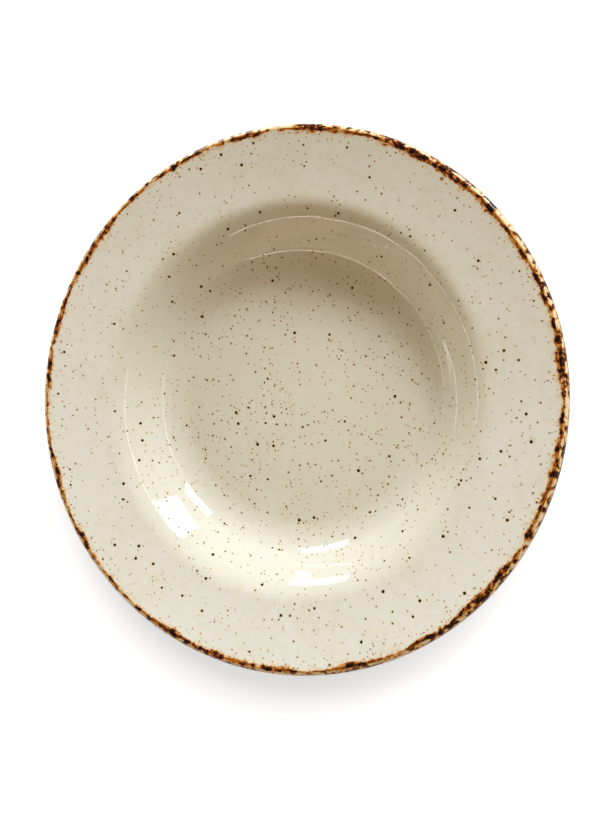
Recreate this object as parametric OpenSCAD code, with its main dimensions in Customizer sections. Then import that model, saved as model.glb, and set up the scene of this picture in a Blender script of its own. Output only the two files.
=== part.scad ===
// Stew bowl: a wide-rimmed stoneware bowl made of a fired clay body and four fired-on glaze coats.
// It stands on its foot ring, +Z up, with the origin at the centre of the circle that the foot rests on.
// Every piece is turned about Z. Sizes are millimetres, slopes are degrees.

/* [Bowl] */
// Diameter over the finished lip
rim_d = 270; // [250:1:300]
// Height from the table to the top of the finished lip
bowl_h = 41.5; // [37:0.5:47]
// Thickness of the clay in the wall, flange and lip
wall_t = 4.5; // [3.5:0.1:6]
// Thickness of the clay under the floor
floor_t = 6; // [4:0.1:8]

/* [Well] */
// Diameter of the flat floor
floor_d = 124.5; // [114:0.5:128]
// Diameter where the well's shoulder becomes the flange
mouth_d = 202.5; // [198:0.5:216]
// Radius of the curve from the floor into the wall
corner_r = 24; // [16:0.5:26]
// Radius of the curve from the wall over the shoulder
shoulder_r = 19; // [12:0.5:22]

/* [Flange] */
// Slope of the flange at the shoulder
flange_start_deg = 9; // [6:0.5:12]
// Slope of the flange at the lip
flange_end_deg = 14; // [12.5:0.5:18]

/* [Foot ring] */
// Outer diameter of the foot ring
foot_d = 140; // [130:1:150]
// Width of the foot ring
foot_w = 5; // [3.5:0.1:8]
// Height of the clay inside the foot ring above the table
foot_h = 4; // [3.6:0.1:6]
// Radius of the hollow curve at the root of the foot ring
cove_r = 1.5; // [0.8:0.1:1.9]
// Radius of the edges that meet the table
foot_edge_r = 1; // [0.3:0.1:1.6]

/* [Glaze] */
// Thickness of every glaze coat
coat_t = 0.4; // [0.2:0.05:0.6]
// Width of the brown edge band, in from the outside of the lip
band_w = 5.2; // [3.6:0.1:12]
// Height of the bare clay that is wiped clean round the foot
bare_h = 2; // [1.7:0.1:2.4]

/* [Hidden] */

// Smoothness of the turned faces and of the arcs in their outline
$fn = 180;
chord_tol = 0.02;

// Foot, floor and lip
foot_r = foot_d / 2;
foot_in_r = foot_r - foot_w;
floor_z = foot_h + floor_t;
lip_r = wall_t / 2;
lip_c = [rim_d / 2 - coat_t - lip_r, bowl_h - coat_t - lip_r];

// Flange: one hollow arc that ends tangent to the lip
flange_end = lip_c + lip_r * normal(flange_end_deg);
flange_r = (flange_end.x - mouth_d / 2) / (sin(flange_end_deg) - sin(flange_start_deg));
flange_c = flange_end + flange_r * normal(flange_end_deg);
band_deg = asin((rim_d / 2 - band_w - flange_c.x) / flange_r);

// Shoulder and corner circles, with the wall as the straight tangent that crosses between them
shoulder_c = flange_c - (flange_r + shoulder_r) * normal(flange_start_deg);
corner_c = [floor_d / 2, floor_z + corner_r];
climb = shoulder_c - corner_c;
wall_deg = atan2(climb.y, climb.x) + asin((corner_r + shoulder_r) / norm(climb));

// Cove circles at the root of the foot ring, outside against the corner's back and inside under the floor
cove_reach = corner_r + wall_t + cove_r;
cove_deg = asin((foot_r + cove_r - corner_c.x) / cove_reach);
cove_c = corner_c - cove_reach * normal(cove_deg);
recess_c = [foot_in_r - cove_r, foot_h - cove_r];

// Unit normal, on the eating side, of a surface that climbs outward at a slope
function normal(slope) = [-sin(slope), cos(slope)];

// Stations along an arc: centre, radius (negative where the centre is above the surface) and slope
function arc(centre, radius, from, to) =
    let (count = ceil(abs(to - from) / (2 * acos(1 - chord_tol / abs(radius)))))
    [for (i = [0:count]) [centre, radius, from + (to - from) * i / count]];

// Points of the stations, lifted along their normals
function points(stations, lift) = [for (s = stations) s[0] + (s[1] + lift) * normal(s[2])];

function tail(list) = [for (i = [1:len(list) - 1]) list[i]];
function reverse(list) = [for (i = [len(list) - 1:-1:0]) list[i]];

// Stations of the arcs, from the floor outward
corner = arc(corner_c, -corner_r, 0, wall_deg);
corner_back = arc(corner_c, -corner_r, cove_deg, wall_deg);
shoulder = arc(shoulder_c, shoulder_r, wall_deg, flange_start_deg);
flange_in = arc(flange_c, -flange_r, flange_start_deg, band_deg);
flange_out = arc(flange_c, -flange_r, band_deg, flange_end_deg);
lip = arc(lip_c, lip_r, flange_end_deg, flange_end_deg - 180);

// Outline of the clay under each coat, or of the coat's own surface when depth is the coat's thickness
function face_line(depth) = concat(
    [[0, floor_z + depth]],
    points(concat(corner, shoulder, tail(flange_in)), depth)
);
function band_line(depth) = concat(
    points(concat(flange_out, tail(lip)), depth),
    points(tail(reverse(flange_out)), -wall_t - depth)
);
function back_line(depth) = concat(
    points(reverse(concat(corner_back, shoulder, tail(flange_in))), -wall_t - depth),
    points(tail(arc(cove_c, cove_r, cove_deg, 90)), -depth),
    [[foot_r + depth, bare_h]]
);
function recess_line(depth) = concat(
    [[foot_in_r - depth, bare_h]],
    points(arc(recess_c, cove_r, -90, 0), -depth),
    [[0, foot_h - depth]]
);

// Outline of the bare foot, from its outside round to its inside
foot_line = points(concat(
    arc([foot_r - foot_edge_r, foot_edge_r], foot_edge_r, -90, -180),
    arc([foot_in_r + foot_edge_r, foot_edge_r], foot_edge_r, -180, -270)
), 0);

module turned(outline) rotate_extrude() polygon(outline);

// A coat fills the space between the clay and the coat's own surface
module coat(clay, surface) turned(concat(clay, reverse(surface)));

// Fired clay: floor, wall, flange, lip and foot ring, thrown as one piece
module clay_body() {
    color("#b79a78")
        turned(concat(
            face_line(0),
            tail(band_line(0)),
            tail(back_line(0)),
            foot_line,
            recess_line(0)
        ));
}

// Cream glaze over the floor, wall, shoulder and flange
module face_glaze() {
    color("#e3dac4") coat(face_line(0), face_line(coat_t));
}

// Iron-brown glaze round the lip
module edge_band() {
    color("#6b3a17") coat(band_line(0), band_line(coat_t));
}

// Cream glaze over the outside, down to the bare foot
module back_glaze() {
    color("#ddd2ba") coat(back_line(0), back_line(coat_t));
}

// Cream glaze on the underside, inside the foot ring
module recess_glaze() {
    color("#d9ceb5") coat(recess_line(0), recess_line(coat_t));
}

clay_body();
face_glaze();
edge_band();
back_glaze();
recess_glaze();
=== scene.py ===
"""Stew bowl: the glaze coats, bare clay and studio stage of a speckled, wide-rimmed stoneware bowl."""
import math

import bpy
import numpy as np
from mathutils import Matrix, Vector


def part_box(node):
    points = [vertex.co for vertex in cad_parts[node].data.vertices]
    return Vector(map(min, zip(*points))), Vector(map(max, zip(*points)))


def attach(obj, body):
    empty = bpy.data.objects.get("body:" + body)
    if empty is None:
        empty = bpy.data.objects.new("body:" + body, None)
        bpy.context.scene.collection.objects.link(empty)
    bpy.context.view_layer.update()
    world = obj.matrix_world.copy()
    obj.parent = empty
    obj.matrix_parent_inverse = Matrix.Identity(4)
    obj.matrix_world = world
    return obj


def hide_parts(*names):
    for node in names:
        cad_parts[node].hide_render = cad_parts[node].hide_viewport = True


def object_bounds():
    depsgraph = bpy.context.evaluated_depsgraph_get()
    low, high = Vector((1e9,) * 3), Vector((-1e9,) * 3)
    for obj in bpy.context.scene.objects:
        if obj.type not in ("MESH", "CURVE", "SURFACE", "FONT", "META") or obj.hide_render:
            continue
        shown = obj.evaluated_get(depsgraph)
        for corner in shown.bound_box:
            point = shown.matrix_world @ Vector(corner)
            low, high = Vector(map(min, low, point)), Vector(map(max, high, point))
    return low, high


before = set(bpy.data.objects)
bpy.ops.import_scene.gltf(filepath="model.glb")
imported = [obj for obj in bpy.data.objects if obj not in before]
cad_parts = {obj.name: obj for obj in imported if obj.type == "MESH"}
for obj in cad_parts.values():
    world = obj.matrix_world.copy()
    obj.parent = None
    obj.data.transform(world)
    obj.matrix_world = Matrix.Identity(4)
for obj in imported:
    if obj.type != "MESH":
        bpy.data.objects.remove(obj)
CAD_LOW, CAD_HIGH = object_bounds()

bl_info = {
    "name": "Stew bowl",
    "version": (1, 0, 0),
    "blender": (4, 5, 0),
    "location": "3D View > Sidebar > Stew bowl",
    "description": "Makes the glaze coats, bare clay and studio stage of a speckled stoneware stew bowl",
    "category": "Object",
}

MM = 0.001
RECESS_LOW, RECESS_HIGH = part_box("recess_glaze")

MATH = "ShaderNodeMath"
VECTOR = "ShaderNodeVectorMath"
NOISE = "ShaderNodeTexNoise"
RANGE = "ShaderNodeMapRange"
MIX = "ShaderNodeMix"
SMOOTH = {"interpolation_type": "SMOOTHSTEP"}

# Gap between the clay and the underside of a coat, and the step along that hidden line
UNDER_GAP = 0.02 * MM
UNDER_STEP = 6 * MM


def linear(code):
    """The linear colour of an sRGB hex code."""
    parts = [int(code[i:i + 2], 16) / 255 for i in (1, 3, 5)]
    return tuple(p / 12.92 if p <= 0.04045 else ((p + 0.055) / 1.055) ** 2.4 for p in parts)


def length(name, description, default):
    """A size in metres."""
    return bpy.props.FloatProperty(
        name=name, description=description, default=default, min=0.0, precision=5,
        subtype="DISTANCE", unit="LENGTH",
    )


def slope(name, description, default):
    """A slope in degrees, kept in radians."""
    return bpy.props.FloatProperty(
        name=name, description=description, default=math.radians(default),
        subtype="ANGLE", unit="ROTATION",
    )


def colour(name, description, code):
    """A colour from its sRGB hex code."""
    return bpy.props.FloatVectorProperty(
        name=name, description=description, default=linear(code), size=3,
        min=0.0, max=1.0, subtype="COLOR",
    )


class StewBowlSizes(bpy.types.PropertyGroup):
    """Sizes of the bowl, as the CAD source gives them, and of the marks that the wheel leaves."""

    rim_diameter: length("Rim diameter", "Over the finished lip", CAD_HIGH.x - CAD_LOW.x)
    height: length("Height", "From the table to the top of the lip", CAD_HIGH.z)
    wall: length("Wall", "Thickness of the clay in wall, flange and lip", 4.5 * MM)
    floor_height: length("Floor height", "Top of the clay floor above the table", 10.0 * MM)
    floor_diameter: length("Floor diameter", "Flat part of the well", 124.5 * MM)
    mouth_diameter: length("Mouth diameter", "Where the shoulder becomes the flange", 202.5 * MM)
    corner_radius: length("Corner radius", "From the floor into the wall", 24.0 * MM)
    shoulder_radius: length("Shoulder radius", "From the wall over to the flange", 19.0 * MM)
    flange_start: slope("Flange start", "Slope of the flange at the shoulder", 9.0)
    flange_end: slope("Flange end", "Slope of the flange at the lip", 14.0)
    foot_diameter: length("Foot diameter", "Outside of the foot ring", 140.0 * MM)
    foot_inside: length("Foot inside", "Inside of the foot ring", RECESS_HIGH.x - RECESS_LOW.x)
    foot_height: length("Foot height", "Clay inside the foot ring above the table", RECESS_HIGH.z)
    cove_radius: length("Cove radius", "Hollow curve at the root of the foot ring", 1.5 * MM)
    coat: length("Coat", "Thickness of every glaze coat", 0.4 * MM)
    band_width: length("Band width", "Brown edge band, in from the outside of the lip", 5.2 * MM)
    bare_height: length("Bare height", "Wiped clay round the foot", RECESS_LOW.z)
    turns: bpy.props.IntProperty(
        name="Turns", description="Steps round the bowl in a finished mesh", default=300, min=24
    )
    belly: length("Belly", "How far the wall swells and then hollows from a straight line", 0.20 * MM)
    belly_start: length("Belly start", "Diameter where the swell of the wall begins", 157.0 * MM)
    belly_end: length("Belly end", "Diameter where the hollow of the wall ends", 195.0 * MM)
    undulation: length("Undulation", "Depth of the soft waves in the flange", 0.10 * MM)
    wobble: length("Wobble", "How far the lip runs out of true", 0.15 * MM)


class StewBowlColours(bpy.types.PropertyGroup):
    """Colours of the glazes, the clay and the stage."""

    cream: colour("Cream glaze", "Body of the cream glaze", "#ECE9DA")
    # Pooled tone: the darker well, partly thicker glaze and partly painted shade
    pooled_and_painted_shade: colour("Pooled glaze", "Cream glaze where it lies thicker", "#E6E1CC")
    # Thin tone: the darker wall, partly thin glaze and partly painted shade
    thin_and_painted_light: colour("Thin glaze", "Cream glaze where it ran thin on the wall", "#DDD7C5")
    tan: colour("Tan speck", "The faintest iron specks", "#BEAF90")
    stain: colour("Iron stain", "Glaze round a speck, where its iron has spread", "#E6D3A4")
    freckle: colour("Freckle", "Small iron specks", "#A68248")
    rust: colour("Rust speck", "Middling iron specks", "#72490C")
    iron: colour("Iron speck", "Dark iron specks", "#3A2203")
    soot: colour("Dark iron speck", "The largest and darkest iron specks", "#0C0602")
    # Ivory crest: partly thin glaze, partly a painted highlight along the lip
    ivory: colour("Ivory lip", "Thin glaze on the crest of the lip", "#EFDCB2")
    gold: colour("Gold wash", "Thinnest brown glaze", "#DCAA5E")
    amber: colour("Amber wash", "Thin brown glaze", "#BC6E1C")
    brown: colour("Brown glaze", "Brown glaze", "#7E3B0A")
    dark_brown: colour("Dark brown glaze", "Thick brown glaze", "#3A1806")
    black_brown: colour("Black-brown glaze", "Beads of brown glaze", "#140802")
    clay: colour("Bare clay", "Fired buff stoneware", "#B99B78")
    grog: colour("Grog", "Darker grains in the clay", "#7D5F42")
    floor: colour("Floor", "Pale studio floor", "#F2F2F2")
    ambient: colour("Even light", "Light that comes from all round", "#FFE9C6")


def add(tree, kind, links=None, **settings):
    """Add one node with its settings; inputs take values, colours, nodes, or a node and an output."""
    made = tree.nodes.new(kind)
    for name, value in settings.items():
        setattr(made, name, value)
    for key, value in (links or {}).items():
        socket = made.inputs[key] if isinstance(key, int) else next(
            s for s in made.inputs if s.enabled and s.name == key
        )
        if isinstance(value, bpy.types.Node):
            value = next(s for s in value.outputs if s.enabled)
        elif isinstance(value, tuple) and isinstance(value[0], bpy.types.Node):
            value = next(s for s in value[0].outputs if s.enabled and s.name == value[1])
        if isinstance(value, bpy.types.NodeSocket):
            tree.links.new(value, socket)
        else:
            socket.default_value = (*value, 1.0) if socket.type == "RGBA" else value
    return made


def cleared(holder):
    """The empty node tree of a material or a world."""
    holder.use_nodes = True
    holder.node_tree.nodes.clear()
    return holder.node_tree


def normal(angle):
    """Unit normal, on the eating side, of a surface that climbs outward at a slope."""
    return np.array((-math.sin(angle), math.cos(angle)))


def arc(centre, radius, start, stop, step):
    """Stations along an arc; the radius is negative where the centre is above the surface."""
    count = max(3, math.ceil(abs(radius) * abs(stop - start) / step))
    return [(centre, radius, start + (stop - start) * i / count) for i in range(count + 1)]


def points(stations, lift):
    """Points of the stations as radius and height, lifted along their normals."""
    return [centre + (radius + lift) * normal(angle) for centre, radius, angle in stations]


def bellied(line, start, stop, depth):
    """The line with a soft swell, then a hollow, between two radii, as a thrown wall has."""
    line = np.array(line)
    ahead = np.gradient(line, axis=0)
    ahead /= np.linalg.norm(ahead, axis=1)[:, None]
    share = np.clip((line[:, 0] - start) / (stop - start), 0.0, 1.0)
    lift = depth * np.sin(2 * math.pi * share) * np.sin(math.pi * share) ** 0.5
    return list(line + lift[:, None] * np.stack([-ahead[:, 1], ahead[:, 0]], 1))


def evenly(line, step):
    """The line with points added so that none are further apart than a step."""
    made = [line[0]]
    for start, stop in zip(line, line[1:]):
        count = max(1, math.ceil(float(np.linalg.norm(stop - start)) / step - 1e-6))
        made += [start + (stop - start) * i / count for i in range(1, count + 1)]
    return made


class Outline:
    """The bowl's outline in the plane of radius and height, by the rule that the CAD source follows."""

    def __init__(self, sizes, step):
        self.sizes = sizes
        rim = sizes.rim_diameter / 2
        lip_radius = sizes.wall / 2
        lip_centre = np.array((rim - sizes.coat - lip_radius, sizes.height - sizes.coat - lip_radius))
        flange_tip = lip_centre + lip_radius * normal(sizes.flange_end)
        run = flange_tip[0] - sizes.mouth_diameter / 2
        flange_radius = run / (math.sin(sizes.flange_end) - math.sin(sizes.flange_start))
        flange_centre = flange_tip + flange_radius * normal(sizes.flange_end)
        band_angle = math.asin((rim - sizes.band_width - flange_centre[0]) / flange_radius)
        apart = flange_radius + sizes.shoulder_radius
        shoulder_centre = flange_centre - apart * normal(sizes.flange_start)
        corner_centre = np.array((sizes.floor_diameter / 2, sizes.floor_height + sizes.corner_radius))
        climb = shoulder_centre - corner_centre
        both = sizes.corner_radius + sizes.shoulder_radius
        wall_angle = math.atan2(climb[1], climb[0]) + math.asin(both / float(np.linalg.norm(climb)))
        foot = sizes.foot_diameter / 2
        reach = sizes.corner_radius + sizes.wall + sizes.cove_radius
        cove_angle = math.asin((foot + sizes.cove_radius - corner_centre[0]) / reach)
        cove_centre = corner_centre - reach * normal(cove_angle)
        recess_centre = np.array((sizes.foot_inside / 2, sizes.foot_height)) - sizes.cove_radius
        self.corner = arc(corner_centre, -sizes.corner_radius, 0.0, wall_angle, step)
        self.corner_back = arc(corner_centre, -sizes.corner_radius, cove_angle, wall_angle, step * 3)
        self.shoulder = arc(shoulder_centre, sizes.shoulder_radius, wall_angle, sizes.flange_start, step)
        self.flange_in = arc(flange_centre, -flange_radius, sizes.flange_start, band_angle, step * 3)
        self.flange_out = arc(flange_centre, -flange_radius, band_angle, sizes.flange_end, step)
        self.lip = arc(lip_centre, lip_radius, sizes.flange_end, sizes.flange_end - math.pi, step)
        self.cove = arc(cove_centre, sizes.cove_radius, cove_angle, math.pi / 2, step)
        self.recess_cove = arc(recess_centre, sizes.cove_radius, -math.pi / 2, 0.0, step)

    def face(self, depth):
        """From the middle of the floor to the band's inner edge."""
        start = np.array((0.0, self.sizes.floor_height + depth))
        return [start] + points(self.corner + self.shoulder + self.flange_in[1:], depth)

    def band(self, depth):
        """From the band's inner edge over the lip to its edge underneath."""
        over = points(self.flange_out + self.lip[1:], depth)
        return over + points(self.flange_out[-2::-1], -self.sizes.wall - depth)

    def back(self, depth):
        """From the band underneath down the outside to the bare foot."""
        down = (self.corner_back + self.shoulder + self.flange_in[1:])[::-1]
        foot = np.array((self.sizes.foot_diameter / 2 + depth, self.sizes.bare_height))
        return points(down, -self.sizes.wall - depth) + points(self.cove[1:], -depth) + [foot]

    def recess(self, depth):
        """From the bare foot's inside to the middle of the underside."""
        foot = np.array((self.sizes.foot_inside / 2 - depth, self.sizes.bare_height))
        middle = np.array((0.0, self.sizes.foot_height - depth))
        return [foot] + points(self.recess_cove, -depth) + [middle]


def turning_tree():
    """Geometry Nodes that turn an outline round the bowl's axis, with the marks of the wheel."""
    tree = bpy.data.node_groups.new("Turned coat", "GeometryNodeTree")
    for name, kind in (
        ("Outline", "NodeSocketGeometry"), ("Turns", "NodeSocketInt"), ("Undulation", "NodeSocketFloat"),
        ("Wobble", "NodeSocketFloat"), ("Material", "NodeSocketMaterial"),
    ):
        tree.interface.new_socket(name=name, in_out="INPUT", socket_type=kind)
    tree.interface.new_socket(name="Coat", in_out="OUTPUT", socket_type="NodeSocketGeometry")
    given = add(tree, "NodeGroupInput")
    position = add(tree, "GeometryNodeInputPosition")

    # A grid with one row for each point of the outline and one column for each step round the bowl
    rings = add(tree, "GeometryNodeAttributeDomainSize", {"Geometry": (given, "Outline")})
    columns = add(tree, MATH, {0: (given, "Turns"), 1: 1.0}, operation="ADD")
    grid = add(tree, "GeometryNodeMeshGrid", {"Vertices X": (rings, "Point Count"), "Vertices Y": columns})
    index = add(tree, "GeometryNodeInputIndex")
    share = add(tree, MATH, {0: index, 1: columns}, operation="DIVIDE")
    ring = add(tree, MATH, {0: share}, operation="FLOOR")
    turn = add(tree, MATH, {0: index, 1: columns}, operation="MODULO")
    part = add(tree, MATH, {0: turn, 1: (given, "Turns")}, operation="DIVIDE")
    angle = add(tree, MATH, {0: part, 1: 2 * math.pi}, operation="MULTIPLY")
    on_line = add(
        tree, "GeometryNodeSampleIndex",
        {"Geometry": (given, "Outline"), "Value": position, "Index": ring}, data_type="FLOAT_VECTOR",
    )
    turned = add(
        tree, "ShaderNodeVectorRotate", {"Vector": on_line, "Angle": angle}, rotation_type="Z_AXIS"
    )
    shape = add(tree, "GeometryNodeSetPosition", {"Geometry": (grid, "Mesh"), "Position": turned})

    # The outline's own measures go along, for the map that the finish is laid on
    for name in ("along", "under"):
        measure = add(tree, "GeometryNodeInputNamedAttribute", {"Name": name}, data_type="FLOAT")
        taken = add(
            tree, "GeometryNodeSampleIndex",
            {"Geometry": (given, "Outline"), "Value": (measure, "Attribute"), "Index": ring},
        )
        shape = add(
            tree, "GeometryNodeStoreNamedAttribute", {"Geometry": shape, "Name": name, "Value": taken}
        )
    merged = add(tree, "GeometryNodeMergeByDistance", {"Geometry": shape, "Distance": 0.001 * MM})

    # Radius in millimetres and the direction from the axis
    flat = add(tree, VECTOR, {0: position, 1: (1 / MM, 1 / MM, 0.0)}, operation="MULTIPLY")
    radius = add(tree, VECTOR, {0: flat}, operation="LENGTH")
    outward = add(tree, VECTOR, {0: flat}, operation="NORMALIZE")

    # Soft waves about 25 mm across, always downward and clear of the floor, and a lip a little out of true
    waves = add(tree, NOISE, {"Vector": flat, "Scale": 1 / 25, "Detail": 1.0, "Roughness": 0.4})
    clear = add(tree, RANGE, {"Value": radius, "From Min": 72.0, "From Max": 84.0}, **SMOOTH)
    deep = add(tree, MATH, {0: waves, 1: (given, "Undulation")}, operation="MULTIPLY")
    dip = add(tree, MATH, {0: deep, 1: clear}, operation="MULTIPLY")
    run_out = add(tree, NOISE, {"Vector": outward, "Scale": 1.1, "Detail": 1.0})
    outer = add(tree, RANGE, {"Value": radius, "From Min": 90.0, "From Max": 130.0}, **SMOOTH)
    held = add(tree, MATH, {0: run_out, 1: (given, "Wobble")}, operation="MULTIPLY")
    pull = add(tree, MATH, {0: held, 1: outer}, operation="MULTIPLY")
    drop = add(tree, MATH, {0: dip, 1: pull}, operation="ADD")
    fall = add(tree, MATH, {0: drop, 1: -1.0}, operation="MULTIPLY")
    down = add(tree, "ShaderNodeCombineXYZ", {"Z": fall})
    back_in = add(tree, MATH, {0: pull, 1: -1.0}, operation="MULTIPLY")
    inward = add(tree, VECTOR, {0: outward, "Scale": back_in}, operation="SCALE")
    moved = add(tree, VECTOR, {0: down, 1: inward}, operation="ADD")
    waved = add(tree, "GeometryNodeSetPosition", {"Geometry": merged, "Offset": moved})

    # Smooth all over, but crisp where a coat ends, so that its face shades true right up to the seam
    smooth = add(tree, "GeometryNodeSetShadeSmooth", {"Geometry": waved, "Shade Smooth": True})
    bend = add(tree, "GeometryNodeInputMeshEdgeAngle")
    sharp = add(tree, MATH, {0: (bend, "Unsigned Angle"), 1: math.radians(50)}, operation="GREATER_THAN")
    smooth = add(
        tree, "GeometryNodeSetShadeSmooth",
        {"Geometry": smooth, "Selection": sharp, "Shade Smooth": False}, domain="EDGE",
    )
    real = add(tree, "GeometryNodeRealizeInstances", {"Geometry": smooth})
    finish = add(tree, "GeometryNodeSetMaterial", {"Geometry": real, "Material": (given, "Material")})
    add(tree, "NodeGroupOutput", {"Coat": finish})
    return tree


def read(items, name, kind=float, width=1):
    """One value, or a row of values, of every item."""
    values = np.zeros(len(items) * width, kind)
    items.foreach_get(name, values)
    return values.reshape(-1, width) if width > 1 else values


def lay_map(mesh, rows):
    """The map that a finish is baked on: a disc by distance along the outline, or rows of the rim."""
    corner = read(mesh.loops, "vertex_index", int)
    place = read(mesh.vertices, "co", width=3)
    along = read(mesh.attributes["along"].data, "value")
    under = read(mesh.attributes["under"].data, "value")
    sides = read(mesh.polygons, "loop_total", int)
    face = np.repeat(np.arange(len(sides)), sides)

    # A face with corners on the underside is hidden
    hidden = (np.bincount(face, under[corner]) / sides > 0.2)[face]

    angle = np.arctan2(place[:, 1], place[:, 0])
    share = along[corner] / along.max()
    if rows:
        # Each row holds one length of the rim, with its hidden underside in a thin strip above it
        middle = read(mesh.polygons, "center", width=3)
        centre = np.arctan2(middle[:, 1], middle[:, 0])[face]
        turned = (angle[corner] - centre + math.pi) % (2 * math.pi) - math.pi + centre
        row = np.clip(np.floor((centre / (2 * math.pi) + 0.5) * rows), 0, rows - 1)
        across = np.clip((turned / (2 * math.pi) + 0.5) * rows - row, 0.0, 1.0)
        height = np.where(hidden, 0.94 + 0.03 * under[corner], 0.03 + 0.86 * share)
        flat = np.stack([0.01 + 0.98 * across, (row + height) / rows], 1)
    else:
        # A disc that fills the map, with the hidden underside as a small one in the corner
        centre = np.where(hidden, 0.06, 0.5)
        reach = np.where(hidden, 0.049, 0.49) * share
        flat = np.stack([centre + reach * np.cos(angle[corner]), centre + reach * np.sin(angle[corner])], 1)
    layer = mesh.uv_layers.new(name="OFBake")
    layer.uv.foreach_set("vector", flat.astype(np.float32).ravel())
    for name in ("along", "under"):
        mesh.attributes.remove(mesh.attributes[name])


def turned_coat(name, node, surface, underside, material, turns, rows=0):
    """Turn a closed coat from its surface line and the line under it, and let it stand for its CAD node."""
    sizes = bpy.context.scene.stew_bowl_sizes
    on_axis = 0.001 * MM
    line = surface + underside[::-1]
    if line[0][0] > on_axis or line[-1][0] > on_axis:
        line = line + [line[0]]

    # Distance along the surface; for a disc it is counted from the axis
    along = np.cumsum([0.0] + [float(np.linalg.norm(b - a)) for a, b in zip(surface, surface[1:])])
    if not rows:
        if surface[-1][0] < surface[0][0]:
            along = along[-1] - along
        along = along + min(surface[0][0], surface[-1][0])
    below = np.arange(len(line) - len(surface))
    along = [*along, *np.interp(below, [0, len(underside)], [along[-1], along[0]])]
    outline = bpy.data.meshes.new(name + "_outline")
    outline.from_pydata([(r, 0.0, z) for r, z in line], [(i, i + 1) for i in range(len(line) - 1)], [])
    outline.attributes.new("along", "FLOAT", "POINT").data.foreach_set("value", along)
    flags = [0.0] * len(surface) + [1.0] * len(below)
    outline.attributes.new("under", "FLOAT", "POINT").data.foreach_set("value", flags)
    piece = bpy.data.objects.new(name, outline)
    bpy.context.scene.collection.objects.link(piece)
    tree = bpy.data.node_groups.get("Turned coat") or turning_tree()
    modifier = piece.modifiers.new("Turned coat", "NODES")
    modifier.node_group = tree
    values = {
        "Turns": turns, "Undulation": sizes.undulation, "Wobble": sizes.wobble, "Material": material,
    }
    for item in tree.interface.items_tree:
        if item.in_out == "INPUT" and item.name in values:
            modifier[item.identifier] = values[item.name]
    made = bpy.data.meshes.new_from_object(piece.evaluated_get(bpy.context.evaluated_depsgraph_get()))
    piece.modifiers.remove(modifier)
    piece.data = made
    bpy.data.meshes.remove(outline)
    made.name = name
    if not made.polygons:
        raise RuntimeError(f"{name} came out empty")
    lay_map(made, rows)
    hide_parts(node)
    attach(piece, "root")


# How much longer the slanting wall is than its plan, for each millimetre that it climbs
WALL_STRETCH = 0.43

# Iron specks by size: spacing of their cells in mm, share of the cells that hold one in the well and on the
# flange, smallest and largest radius in mm, tones of the palest and the darkest
SPECKS = (
    (2.6, 0.12, 0.07, 0.21, 0.33, "tan", "freckle"),
    (3.4, 0.30, 0.15, 0.30, 0.43, "freckle", "rust"),
    (6.0, 0.30, 0.14, 0.42, 0.58, "rust", "iron"),
    (11.0, 0.16, 0.24, 0.60, 0.96, "iron", "soot"),
)

# Tones of the lip, by how much iron lies there
LIP_TONES = (
    (0.03, "ivory"), (0.17, "gold"), (0.36, "amber"), (0.58, "brown"), (0.80, "dark_brown"),
    (0.97, "black_brown"),
)


class GlazePoint:
    """Where a point of the glaze lies on the bowl: nodes that give places and distances in millimetres."""

    def __init__(self, tree):
        sizes = bpy.context.scene.stew_bowl_sizes
        where = add(tree, "ShaderNodeTexCoord")
        self.place = add(tree, VECTOR, {0: (where, "Object"), "Scale": 1 / MM}, operation="SCALE")
        split = add(tree, "ShaderNodeSeparateXYZ", {"Vector": self.place})
        flat = add(tree, VECTOR, {0: self.place, 1: (1.0, 1.0, 0.0)}, operation="MULTIPLY")
        self.radius = add(tree, VECTOR, {0: flat}, operation="LENGTH")
        outward = add(tree, VECTOR, {0: flat}, operation="NORMALIZE")

        # The surface laid out flat, so that specks stay round on the wall, and nudged to make them ragged
        climb = add(tree, MATH, {0: (split, "Z"), 1: sizes.floor_height / MM}, operation="SUBTRACT")
        reach = add(tree, MATH, {0: climb, 1: WALL_STRETCH, 2: self.radius}, operation="MULTIPLY_ADD")
        self.laid = add(tree, VECTOR, {0: outward, "Scale": reach}, operation="SCALE")
        ragged = add(tree, NOISE, {"Vector": self.place, "Scale": 2.0, "Detail": 1.0})
        loose = add(tree, VECTOR, {0: (ragged, "Color"), 1: (0.5, 0.5, 0.5)}, operation="SUBTRACT")
        self.nudged = add(
            tree, VECTOR, {0: loose, 1: (0.3, 0.3, 0.3), 2: self.laid}, operation="MULTIPLY_ADD"
        )

        # Along the rim, and in from its outermost circle: over the lip and face, or below nought underneath
        rim = sizes.rim_diameter / 2 / MM
        roll = (sizes.wall / 2 + sizes.coat) / MM
        self.along_rim = add(tree, VECTOR, {0: outward, "Scale": rim}, operation="SCALE")
        up = add(tree, MATH, {0: (split, "Z"), 1: sizes.height / MM - roll}, operation="SUBTRACT")
        depth = add(tree, MATH, {0: rim, 1: self.radius}, operation="SUBTRACT")
        before = add(tree, MATH, {0: roll, 1: depth}, operation="SUBTRACT")
        ahead = add(tree, MATH, {0: before, 1: 0.0}, operation="MAXIMUM")
        height = add(tree, MATH, {0: up}, operation="ABSOLUTE")
        lean = add(tree, MATH, {0: height, 1: ahead}, operation="ARCTAN2")
        rolled = add(tree, MATH, {0: lean, 1: roll}, operation="MULTIPLY")
        past = add(tree, MATH, {0: depth, 1: roll}, operation="SUBTRACT")
        beyond = add(tree, MATH, {0: past, 1: 0.0}, operation="MAXIMUM")
        distance = add(tree, MATH, {0: rolled, 1: beyond}, operation="ADD")
        side = add(tree, MATH, {0: up}, operation="SIGN")
        self.inward = add(tree, MATH, {0: distance, 1: side}, operation="MULTIPLY")


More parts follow.
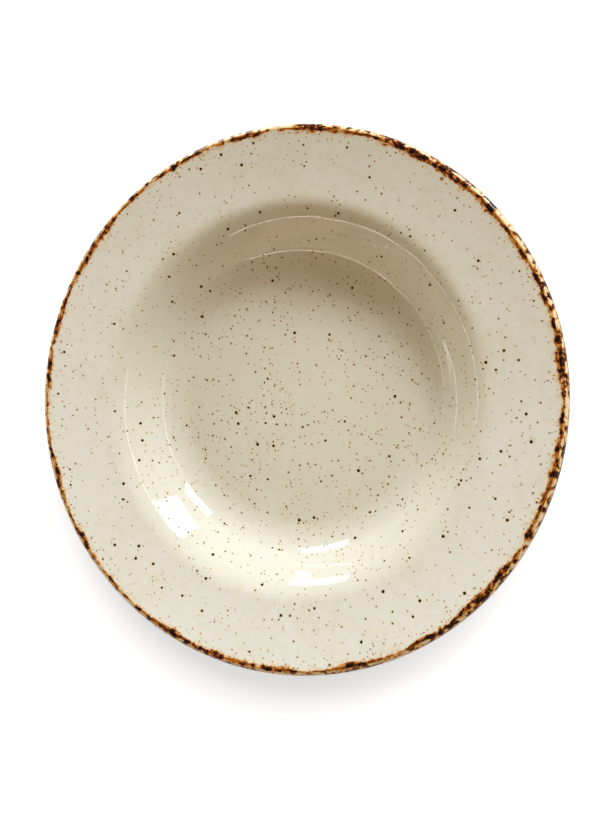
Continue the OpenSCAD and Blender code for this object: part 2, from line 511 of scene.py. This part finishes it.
def scattered(tree, point, spacing, share, smallest, largest):
    """Marks, one to a cell: distance in radii from the mark, if the cell holds one, and its random tone."""
    cells = add(
        tree, "ShaderNodeTexVoronoi",
        {"Vector": point.nudged, "Scale": 1 / spacing}, voronoi_dimensions="2D",
    )
    chance = add(tree, "ShaderNodeSeparateColor", {"Color": (cells, "Color")})
    held = add(tree, MATH, {0: (chance, "Blue"), 1: share}, operation="LESS_THAN")
    size = add(
        tree, RANGE, {"Value": (chance, "Red"), "To Min": smallest / spacing, "To Max": largest / spacing}
    )
    away = add(tree, MATH, {0: (cells, "Distance"), 1: size}, operation="DIVIDE")
    return away, held, (chance, "Green")


def cream_body(tree, point):
    """Cream glaze with clouds 30 mm and 4 mm across, darker in the well and on the steep wall than on the
    flange: partly thicker and thinner glaze, partly painted shade.
    """
    colours = bpy.context.scene.stew_bowl_colours
    clouds = add(tree, NOISE, {"Vector": point.place, "Scale": 1 / 30, "Detail": 2.0})
    mottle = add(tree, NOISE, {"Vector": point.place, "Scale": 1 / 4, "Detail": 3.0})

    # The glaze lies thicker below the shoulder than on the flange; the darker well and lighter flange are
    # partly real pooling and partly painted light and shade
    ran_down_and_painted_light = add(
        tree, RANGE,
        {"Value": point.radius, "From Min": 92.0, "From Max": 108.0, "To Min": 0.25, "To Max": -0.15},
        **SMOOTH,
    )
    uneven = add(tree, MATH, {0: clouds, 1: mottle}, operation="ADD")
    thick = add(tree, MATH, {0: uneven, 1: ran_down_and_painted_light}, operation="ADD")
    pooled_and_painted_shade = add(tree, RANGE, {"Value": thick, "From Min": 0.7, "From Max": 1.3}, **SMOOTH)
    body = add(tree, MIX, {"Factor": pooled_and_painted_shade, "A": colours.cream, "B": colours.pooled_and_painted_shade}, data_type="RGBA")

    # On the wall, between the floor's edge and the shoulder, the cream is darker: partly thin glaze that
    # the clay darkens a little, partly painted shade
    onto_wall = add(tree, RANGE, {"Value": point.radius, "From Min": 62.0, "From Max": 72.0}, **SMOOTH)
    off_wall = add(
        tree, RANGE, {"Value": point.radius, "From Min": 100.0, "From Max": 92.0, "To Max": 0.6}, **SMOOTH
    )
    on_wall = add(tree, MATH, {0: onto_wall, 1: off_wall}, operation="MULTIPLY")
    return add(
        tree, MIX, {"Factor": on_wall, "A": (body, "Result"), "B": colours.thin_and_painted_light}, data_type="RGBA"
    )


def iron_specks(tree, point, body):
    """The cream with iron specks in flocks 14 mm across, each in a pale ring where its iron spread."""
    colours = bpy.context.scene.stew_bowl_colours
    flock = add(tree, NOISE, {"Vector": point.laid, "Scale": 1 / 14, "Detail": 1.0}, noise_dimensions="2D")
    gathered = add(
        tree, RANGE, {"Value": flock, "From Min": 0.3, "From Max": 0.7, "To Min": 0.35, "To Max": 1.65}
    )
    for spacing, well, flange, smallest, largest, pale, dark in SPECKS:
        part = add(
            tree, RANGE,
            {"Value": point.radius, "From Min": 70.0, "From Max": 100.0, "To Min": well, "To Max": flange},
        )
        share = add(tree, MATH, {0: part, 1: gathered}, operation="MULTIPLY")
        away, held, chance = scattered(tree, point, spacing, share, smallest, largest)
        spread = add(
            tree, RANGE, {"Value": away, "From Min": 2.4, "From Max": 0.8, "To Max": 0.5}, **SMOOTH
        )
        ring = add(tree, MATH, {0: spread, 1: held}, operation="MULTIPLY")
        stained = add(
            tree, MIX, {"Factor": ring, "A": (body, "Result"), "B": colours.stain}, data_type="RGBA"
        )
        dot = add(tree, RANGE, {"Value": away, "From Min": 1.15, "From Max": 0.7}, **SMOOTH)
        cover = add(tree, MATH, {0: dot, 1: held}, operation="MULTIPLY")
        tones = {"Factor": chance, "A": getattr(colours, pale), "B": getattr(colours, dark)}
        tone = add(tree, MIX, tones, data_type="RGBA")
        body = add(
            tree, MIX, {"Factor": cover, "A": (stained, "Result"), "B": (tone, "Result")}, data_type="RGBA"
        )
    return body


def brown_edge(tree, point):
    """Iron brushed on the lip: how much of it lies at a point, and how far it hides the cream."""
    inward = point.inward

    # Patterns that follow the rim, by size in mm and detail: slow changes of load, sway, fine teeth
    slow, sway, teeth = (
        add(tree, NOISE, {"Vector": point.along_rim, "Scale": 1 / size, "Detail": detail})
        for size, detail in ((26, 1.0), (7, 2.0), (1.1, 1.5))
    )

    # Patches, long streaks and beads, by size in mm, squeeze across the lip, detail and roughness
    marks = []
    across = add(tree, "ShaderNodeCombineXYZ", {"Z": inward})
    for size, squeeze, detail, rough in ((3.6, 1.5, 2.5, 0.55), (5.0, 6.0, 3.0, 0.6), (2.6, 0.8, 1.5, 0.5)):
        place = add(
            tree, VECTOR, {0: across, 1: (0.0, 0.0, squeeze), 2: point.along_rim}, operation="MULTIPLY_ADD"
        )
        marks.append(
            add(tree, NOISE, {"Vector": place, "Scale": 1 / size, "Detail": detail, "Roughness": rough})
        )
    patches, streaks, beads = marks

    # The band's ragged inner edge, between 4.7 and 6.2 mm in before it sways
    swell = add(
        tree, RANGE,
        {"Value": slow, "From Min": 0.35, "From Max": 0.65, "To Min": 4.7, "To Max": 6.2}, **SMOOTH,
    )
    swung = add(tree, MATH, {0: sway, 1: 3.0, 2: swell}, operation="MULTIPLY_ADD")
    toothed = add(tree, MATH, {0: teeth, 1: 1.6, 2: swung}, operation="MULTIPLY_ADD")
    reach = add(tree, MATH, {0: toothed, 1: 2.3}, operation="SUBTRACT")
    inside = add(tree, MATH, {0: reach, 1: inward}, operation="SUBTRACT")
    band = add(tree, RANGE, {"Value": inside, "From Min": -0.9, "From Max": 0.5}, **SMOOTH)

    # Streaks, patches, and beads on the outside of the lip
    fed = add(tree, MATH, {0: slow, 1: 0.25, 2: patches}, operation="MULTIPLY_ADD")
    load = add(tree, RANGE, {"Value": fed, "From Min": 0.57, "From Max": 0.76}, **SMOOTH)
    amount = add(tree, RANGE, {"Value": streaks, "From Min": 0.28, "From Max": 0.75, "To Max": 0.56})
    amount = add(tree, MATH, {0: load, 1: 0.60, 2: amount}, operation="MULTIPLY_ADD")
    beaded = add(
        tree, RANGE, {"Value": beads, "From Min": 0.46, "From Max": 0.70, "To Max": 0.55}, **SMOOTH
    )
    outer = add(tree, RANGE, {"Value": inward, "From Min": 2.2, "From Max": 0.6})
    amount = add(tree, MATH, {0: beaded, 1: outer, 2: amount}, operation="MULTIPLY_ADD")

    # A broken line 4.7 mm in, where flange and lip meet, and a paler crest 2.5 mm in: partly where the
    # glaze ran thin, partly a painted highlight along the lip
    off_line = add(tree, MATH, {0: inward, 1: 4.7}, operation="SUBTRACT")
    off_line = add(tree, MATH, {0: off_line}, operation="ABSOLUTE")
    line = add(tree, RANGE, {"Value": off_line, "From Min": 1.0, "From Max": 0.2, "To Max": 0.34}, **SMOOTH)
    broken = add(tree, RANGE, {"Value": sway, "From Min": 0.4, "From Max": 0.62})
    line = add(tree, MATH, {0: line, 1: broken}, operation="MULTIPLY")
    amount = add(tree, MATH, {0: amount, 1: line}, operation="ADD")
    off_crest = add(tree, MATH, {0: inward, 1: 2.5}, operation="SUBTRACT")
    off_crest = add(tree, MATH, {0: off_crest}, operation="ABSOLUTE")
    thin_and_painted_light = add(
        tree, RANGE, {"Value": off_crest, "From Min": 1.7, "From Max": 0.4, "To Max": -0.30}, **SMOOTH
    )
    bare = add(tree, MATH, {0: 1.0, 1: load}, operation="SUBTRACT")
    amount = add(tree, MATH, {0: thin_and_painted_light, 1: bare, 2: amount}, operation="MULTIPLY_ADD")
    amount = add(tree, MATH, {0: amount, 1: band}, operation="MULTIPLY", use_clamp=True)

    # An amber wash that bleeds in over the face, in patches, and dabs further in
    bleed = add(
        tree, RANGE, {"Value": patches, "From Min": 0.42, "From Max": 0.68, "To Min": 0.5, "To Max": 5.0}
    )
    bled = add(tree, MATH, {0: inside, 1: bleed}, operation="DIVIDE")
    wash = add(tree, RANGE, {"Value": bled, "From Min": -1.0, "From Max": 0.0, "To Max": 0.17}, **SMOOTH)
    beyond = add(tree, RANGE, {"Value": inside, "From Min": 1.4, "From Max": 0.0})
    washed = add(tree, MATH, {0: wash, 1: beyond}, operation="MULTIPLY")
    amount = add(tree, MATH, {0: amount, 1: washed}, operation="MAXIMUM")
    share = add(
        tree, RANGE, {"Value": inward, "From Min": 5.0, "From Max": 13.0, "To Min": 0.5, "To Max": 0.0}
    )
    away, held, _ = scattered(tree, point, 2.4, share, 0.2, 0.6)
    dab = add(tree, RANGE, {"Value": away, "From Min": 1.2, "From Max": 0.4, "To Max": 0.42}, **SMOOTH)
    dabs = add(tree, MATH, {0: dab, 1: held}, operation="MULTIPLY")
    amount = add(tree, MATH, {0: amount, 1: dabs}, operation="MAXIMUM")

    # Underneath, the brown ends in a ragged line
    under_run = add(tree, MATH, {0: teeth, 1: -3.0, 2: -4.5}, operation="MULTIPLY_ADD")
    ending = add(tree, MATH, {0: inward, 1: under_run}, operation="SUBTRACT")
    kept = add(tree, RANGE, {"Value": ending, "From Min": -0.4, "From Max": 0.6}, **SMOOTH)
    amount = add(tree, MATH, {0: amount, 1: kept}, operation="MULTIPLY")
    cover = add(tree, RANGE, {"Value": amount, "From Max": 0.28})
    cover = add(tree, MATH, {0: cover, 1: band}, operation="MAXIMUM")
    cover = add(tree, MATH, {0: cover, 1: kept}, operation="MULTIPLY")
    return amount, cover


def glaze(name):
    """Glossy feldspar glaze on stoneware, fired over iron specks, brown where iron was brushed on the lip.

    It is smooth and glassy, so lamps show as sharp patches; cream with soft clouds, darker in the well and
    on the wall partly by the glaze's thickness and partly as painted shade;
    peppered with brown and black specks; and on the lip it breaks from ivory through amber to black-brown,
    the ivory crest partly a painted highlight.
    """
    colours = bpy.context.scene.stew_bowl_colours
    material = bpy.data.materials.new(name)
    tree = cleared(material)
    point = GlazePoint(tree)
    body = iron_specks(tree, point, cream_body(tree, point))
    amount, cover = brown_edge(tree, point)
    tones = add(tree, "ShaderNodeValToRGB", {"Fac": amount})
    stops = tones.color_ramp.elements
    for stop, (share, tone) in zip(stops, (LIP_TONES[0], LIP_TONES[-1])):
        stop.position = share
        stop.color = (*getattr(colours, tone), 1.0)
    for share, tone in LIP_TONES[1:-1]:
        stops.new(share).color = (*getattr(colours, tone), 1.0)
    shown = add(
        tree, MIX, {"Factor": cover, "A": (body, "Result"), "B": (tones, "Color")}, data_type="RGBA"
    )

    # Glassy with faint waves 3 mm across; thick iron is a little duller and stands proud
    peel = add(tree, NOISE, {"Vector": point.place, "Scale": 1 / 3, "Detail": 1.0})
    gloss = add(tree, RANGE, {"Value": amount, "From Min": 0.5, "To Min": 0.03, "To Max": 0.15})
    proud = add(tree, MATH, {0: amount, 1: 0.02}, operation="MULTIPLY")
    relief = add(tree, MATH, {0: peel, 1: 0.003, 2: proud}, operation="MULTIPLY_ADD")
    bump = add(tree, "ShaderNodeBump", {"Height": relief, "Distance": MM, "Strength": 1.0})
    shader = add(
        tree, "ShaderNodeBsdfPrincipled",
        {"Base Color": (shown, "Result"), "Roughness": gloss, "IOR": 1.5, "Normal": bump},
    )
    add(tree, "ShaderNodeOutputMaterial", {"Surface": shader})
    return material


def cream_glaze():
    """The cream glaze, made once and shared by the face, the back and the recess."""
    return bpy.data.materials.get("Cream stoneware glaze") or glaze("Cream stoneware glaze")


def bare_stoneware():
    """Unglazed, fired buff stoneware: matt and slightly gritty, with dark grains of grog 1 mm apart."""
    colours = bpy.context.scene.stew_bowl_colours
    material = bpy.data.materials.new("Bare buff stoneware")
    tree = cleared(material)
    where = add(tree, "ShaderNodeTexCoord")
    place = add(tree, VECTOR, {0: (where, "Object"), "Scale": 1 / MM}, operation="SCALE")
    clouds = add(tree, NOISE, {"Vector": place, "Scale": 1 / 9, "Detail": 3.0})
    grains = add(tree, "ShaderNodeTexVoronoi", {"Vector": place, "Scale": 1 / 1.1})
    grain = add(tree, RANGE, {"Value": (grains, "Distance"), "From Min": 0.28, "From Max": 0.12}, **SMOOTH)
    tint = add(tree, RANGE, {"Value": clouds, "From Min": 0.3, "From Max": 0.7, "To Max": 0.35})
    dark = add(tree, MATH, {0: grain, 1: tint}, operation="MAXIMUM")
    shown = add(tree, MIX, {"Factor": dark, "A": colours.clay, "B": colours.grog}, data_type="RGBA")
    grit = add(tree, NOISE, {"Vector": place, "Scale": 2.5, "Detail": 3.0})
    rough = add(tree, RANGE, {"Value": grit, "To Min": 0.75, "To Max": 0.95})
    relief = add(tree, MATH, {0: grit, 1: 0.06}, operation="MULTIPLY")
    bump = add(tree, "ShaderNodeBump", {"Height": relief, "Distance": MM, "Strength": 1.0})
    shader = add(
        tree, "ShaderNodeBsdfPrincipled",
        {"Base Color": (shown, "Result"), "Roughness": rough, "IOR": 1.5, "Normal": bump},
    )
    add(tree, "ShaderNodeOutputMaterial", {"Surface": shader})
    return material


class STEWBOWL_OT_clay(bpy.types.Operator):
    """Give the fired clay body its bare stoneware finish, which shows on the foot ring"""

    bl_idname = "stewbowl.clay"
    bl_label = "Clay body"

    def execute(self, context):
        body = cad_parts["clay_body"]
        body.data.materials.clear()
        body.data.materials.append(bare_stoneware())
        return {"FINISHED"}


class STEWBOWL_OT_face(bpy.types.Operator):
    """Turn the cream glaze coat over floor, wall, shoulder and flange"""

    bl_idname = "stewbowl.face"
    bl_label = "Face glaze"

    def execute(self, context):
        sizes = context.scene.stew_bowl_sizes
        straight = evenly(Outline(sizes, 0.5 * MM).face(sizes.coat), 1 * MM)
        surface = bellied(straight, sizes.belly_start / 2, sizes.belly_end / 2, sizes.belly)
        underside = evenly(Outline(sizes, 3 * MM).face(UNDER_GAP), UNDER_STEP)
        turned_coat(
            "cream_face_coat", "face_glaze", surface, underside, cream_glaze(), sizes.turns
        )
        return {"FINISHED"}


class STEWBOWL_OT_edge(bpy.types.Operator):
    """Turn the brown glaze coat round the lip"""

    bl_idname = "stewbowl.edge"
    bl_label = "Brown edge"

    def execute(self, context):
        sizes = context.scene.stew_bowl_sizes
        surface = Outline(sizes, 0.3 * MM).band(sizes.coat)
        underside = Outline(sizes, 1 * MM).band(UNDER_GAP)
        turned_coat(
            "brown_edge_coat", "edge_band", surface, underside, glaze("Iron brown edge glaze"),
            sizes.turns * 2, rows=8,
        )
        return {"FINISHED"}


class STEWBOWL_OT_back(bpy.types.Operator):
    """Turn the cream glaze coat over the outside, down to the bare foot"""

    bl_idname = "stewbowl.back"
    bl_label = "Back glaze"

    def execute(self, context):
        sizes = context.scene.stew_bowl_sizes
        surface = evenly(Outline(sizes, 0.3 * MM).back(sizes.coat), 1 * MM)
        underside = evenly(Outline(sizes, 3 * MM).back(UNDER_GAP), UNDER_STEP)
        turned_coat(
            "cream_back_coat", "back_glaze", surface, underside, cream_glaze(), sizes.turns
        )
        return {"FINISHED"}


class STEWBOWL_OT_recess(bpy.types.Operator):
    """Turn the cream glaze coat on the underside, inside the foot ring"""

    bl_idname = "stewbowl.recess"
    bl_label = "Recess glaze"

    def execute(self, context):
        sizes = context.scene.stew_bowl_sizes
        surface = evenly(Outline(sizes, 0.3 * MM).recess(sizes.coat), 1.6 * MM)
        underside = evenly(Outline(sizes, 1 * MM).recess(UNDER_GAP), UNDER_STEP)
        turned_coat(
            "cream_recess_coat", "recess_glaze", surface, underside, cream_glaze(),
            sizes.turns,
        )
        return {"FINISHED"}


def facing(place, target, up):
    """A matrix at a place that looks down its own -Z at a target."""
    back = (place - target).normalized()
    right = up.cross(back).normalized()
    top = back.cross(right)
    turn = Matrix((right, top, back)).transposed().to_4x4()
    return Matrix.Translation(place) @ turn


# Lamps: name, azimuth and elevation in degrees, distance, width and height in metres, watts, colour, and
# whether the glaze mirrors it. Softboxes make the bright patches on the wall, strips the thin lines round
# it, and the low south panels the pale band between those lines; the other panels fill the shadows.
LAMPS = (
    ("North-east softbox", 58.5, 27.8, 2.5, 0.75, 0.91, 22.0, "#F0F5FF", True),
    ("North-west softbox", 119.5, 17, 2.5, 0.75, 0.70, 15.6, "#F0F5FF", True),
    ("North panel", 69, 25, 2.5, 0.75, 0.52, 38.0, "#ECF6FF", False),
    ("Low north panel", 80, 12, 2.5, 0.75, 0.52, 5.0, "#C8D0FF", False),
    ("East panel", 18, 12, 2.0, 1.2, 0.8, 14.0, "#F6FFF8", False),
    ("West panel", 142, 10, 2.0, 1.2, 0.8, 13.6, "#F0FFFB", False),
    ("Overhead panel", 160, 85, 2.0, 1.2, 0.8, 5.4, "#FFC874", False),
    ("South panel", 250, 50, 2.0, 1.2, 0.8, 2.8, "#FFD494", False),
    ("Low south panel", 240, 12.5, 2.5, 2.6, 0.42, 4.2, "#FFD8B0", True),
    ("Low south-east panel", 291, 12.5, 2.5, 2.0, 0.42, 2.4, "#FFD8B0", True),
    ("East strip", 10, 41, 2.5, 1.6, 0.08, 2.4, "#FFFFFF", True),
    ("North-east strip", 46, 40, 2.5, 1.4, 0.06, 2.0, "#FFFFFF", True),
    ("South strip", 256, 21, 2.5, 1.4, 0.045, 3.0, "#FFFFFF", True),
    ("South-west strip", 224, 18, 2.5, 1.4, 0.045, 2.8, "#FFFFFF", True),
    ("West strip", 190, 14, 2.5, 1.6, 0.04, 1.8, "#FFFFFF", True),
)

# Lamps that light the studio paper alone, in the same order of values
PAPER_LAMPS = (
    ("East paper lamp", 50, 52, 2.0, 0.9, 0.9, 14.0, "#FFFFFF", False),
    ("West paper lamp", 68, 54, 2.0, 0.9, 0.9, 13.0, "#FFFFFF", False),
)

# Width of the studio floor in metres
FLOOR_WIDTH = 8.0

# Strength of the even light, and of the ceiling that the glaze mirrors
EVEN_LIGHT = 0.04
CEILING = 0.12

# Camera, fitted to the rim's ellipse in the photograph: its place and its target in metres, and its lens
CAMERA_PLACE = (0.1388, -0.0093, 0.4423)
CAMERA_TARGET = (0.0134, -0.0054, 0.0415)
LENS_MM = 38.15
SENSOR_MM = 36.0


def studio_paper():
    """Matt studio paper: white to the camera in open light, and it keeps the bowl's shadow."""
    paper = bpy.data.materials.new("Matt studio paper")
    tree = cleared(paper)
    ray = add(tree, "ShaderNodeLightPath")
    seen = add(tree, MATH, {0: (ray, "Is Camera Ray"), 1: (ray, "Is Glossy Ray")}, operation="MAXIMUM")
    seen = add(tree, MATH, {0: seen, 1: (ray, "Is Transmission Ray")}, operation="MAXIMUM")
    where = add(tree, "ShaderNodeTexCoord")
    away = add(tree, VECTOR, {0: (where, "Object")}, operation="LENGTH")
    fade = add(tree, RANGE, {"Value": away, "From Min": 0.3, "From Max": 1.0, "To Min": 0.66})
    glow = add(tree, MATH, {0: seen, 1: fade}, operation="MULTIPLY")
    matt = add(tree, "ShaderNodeBsdfDiffuse", {"Color": bpy.context.scene.stew_bowl_colours.floor})
    light = add(tree, "ShaderNodeEmission", {"Strength": glow})
    both = add(tree, "ShaderNodeAddShader", {0: matt, 1: light})
    add(tree, "ShaderNodeOutputMaterial", {"Surface": both})
    return paper


def studio_world():
    """Even light all round, a white backdrop for the camera, and a dim ceiling that the glaze mirrors."""
    ambient = bpy.context.scene.stew_bowl_colours.ambient
    white = (1.0, 1.0, 1.0)
    world = bpy.data.worlds.new("Studio")
    tree = cleared(world)
    ray = add(tree, "ShaderNodeLightPath")
    mirror = (ray, "Is Glossy Ray")
    seen = add(
        tree, MATH, {0: (ray, "Is Camera Ray"), 1: (ray, "Is Transmission Ray")}, operation="MAXIMUM"
    )
    way = add(tree, "ShaderNodeTexCoord")
    split = add(tree, "ShaderNodeSeparateXYZ", {"Vector": (way, "Generated")})
    ceiling = add(
        tree, RANGE, {"Value": (split, "Z"), "From Max": 0.22, "To Min": 1.0, "To Max": CEILING}, **SMOOTH
    )
    mirrored = add(tree, MIX, {"Factor": mirror, "A": ambient, "B": white}, data_type="RGBA")
    shown = add(tree, MIX, {"Factor": seen, "A": (mirrored, "Result"), "B": white}, data_type="RGBA")
    level = add(tree, MIX, {"Factor": mirror, "A": EVEN_LIGHT, "B": ceiling})
    level = add(tree, MIX, {"Factor": seen, "A": level, "B": 1.0})
    backdrop = add(tree, "ShaderNodeBackground", {"Color": (shown, "Result"), "Strength": level})
    add(tree, "ShaderNodeOutputWorld", {"Surface": backdrop})
    return world


def hang_lamp(scene, row, lit):
    """Hang one lamp so that it faces the bowl, and let it light only what a collection gives."""
    name, azimuth, elevation, distance, width, height, watts, tint, mirrored = row
    turn = math.radians(azimuth)
    rise = math.radians(elevation)
    way = Vector((math.cos(rise) * math.cos(turn), math.cos(rise) * math.sin(turn), math.sin(rise)))
    middle = Vector((0.0, 0.0, 0.03))
    lamp = bpy.data.lights.new(name, "AREA")
    lamp.shape = "RECTANGLE"
    lamp.size = width
    lamp.size_y = height
    lamp.energy = watts
    lamp.color = linear(tint)
    holder = bpy.data.objects.new(name, lamp)
    scene.collection.objects.link(holder)
    holder.matrix_world = facing(middle + way * distance, middle, Vector((0.0, 0.0, 1.0)))
    holder.light_linking.receiver_collection = lit
    holder.visible_glossy = mirrored
    holder.visible_camera = False


class STEWBOWL_OT_stage(bpy.types.Operator):
    """Add the pale floor, the soft lamps, the even studio light and the camera"""

    bl_idname = "stewbowl.stage"
    bl_label = "Studio stage"

    def execute(self, context):
        scene = context.scene
        half = FLOOR_WIDTH / 2
        mesh = bpy.data.meshes.new("studio_floor")
        corners = [(-half, -half, 0.0), (half, -half, 0.0), (half, half, 0.0), (-half, half, 0.0)]
        mesh.from_pydata(corners, [], [(0, 1, 2, 3)])
        mesh.materials.append(studio_paper())
        floor = bpy.data.objects.new("studio_floor", mesh)
        scene.collection.objects.link(floor)
        scene.world = studio_world()

        # The bowl's lamps leave out the paper, and the paper's own two give it a short, soft shadow
        only_paper = bpy.data.collections.new("Studio paper")
        only_paper.objects.link(floor)
        no_paper = bpy.data.collections.new("All but the studio paper")
        no_paper.objects.link(floor)
        no_paper.collection_objects[0].light_linking.link_state = "EXCLUDE"
        for row in LAMPS:
            hang_lamp(scene, row, no_paper)
        for row in PAPER_LAMPS:
            hang_lamp(scene, row, only_paper)

        # Camera: nearly overhead, a little to the east
        lens = bpy.data.cameras.new("Camera")
        lens.sensor_fit = "VERTICAL"
        lens.sensor_height = SENSOR_MM
        lens.lens = LENS_MM
        lens.clip_start = 0.01
        camera = bpy.data.objects.new("Camera", lens)
        scene.collection.objects.link(camera)
        camera.matrix_world = facing(Vector(CAMERA_PLACE), Vector(CAMERA_TARGET), Vector((0.0, 1.0, 0.0)))
        scene.camera = camera
        scene.view_settings.view_transform = "Standard"
        return {"FINISHED"}


class STEWBOWL_PT_panel(bpy.types.Panel):
    """Sizes, colours and making steps of the stew bowl"""

    bl_idname = "STEWBOWL_PT_panel"
    bl_label = "Stew bowl"
    bl_space_type = "VIEW_3D"
    bl_region_type = "UI"
    bl_category = "Stew bowl"

    def draw(self, context):
        for step in STEPS:
            self.layout.operator(step.bl_idname)
        for group in (context.scene.stew_bowl_sizes, context.scene.stew_bowl_colours):
            box = self.layout.box()
            for name in group.__annotations__:
                box.prop(group, name)


STEPS = (
    STEWBOWL_OT_stage, STEWBOWL_OT_clay, STEWBOWL_OT_face, STEWBOWL_OT_edge, STEWBOWL_OT_back,
    STEWBOWL_OT_recess,
)
CLASSES = (StewBowlSizes, StewBowlColours, *STEPS, STEWBOWL_PT_panel)


def register():
    for kind in CLASSES:
        bpy.utils.register_class(kind)
    bpy.types.Scene.stew_bowl_sizes = bpy.props.PointerProperty(type=StewBowlSizes)
    bpy.types.Scene.stew_bowl_colours = bpy.props.PointerProperty(type=StewBowlColours)


def unregister():
    del bpy.types.Scene.stew_bowl_colours
    del bpy.types.Scene.stew_bowl_sizes
    for kind in reversed(CLASSES):
        bpy.utils.unregister_class(kind)


def main():
    """Make the whole scene."""
    register()
    bpy.ops.stewbowl.stage()
    bpy.ops.stewbowl.clay()
    bpy.ops.stewbowl.face()
    bpy.ops.stewbowl.edge()
    bpy.ops.stewbowl.back()
    bpy.ops.stewbowl.recess()


if __name__ == "__main__":
    main()
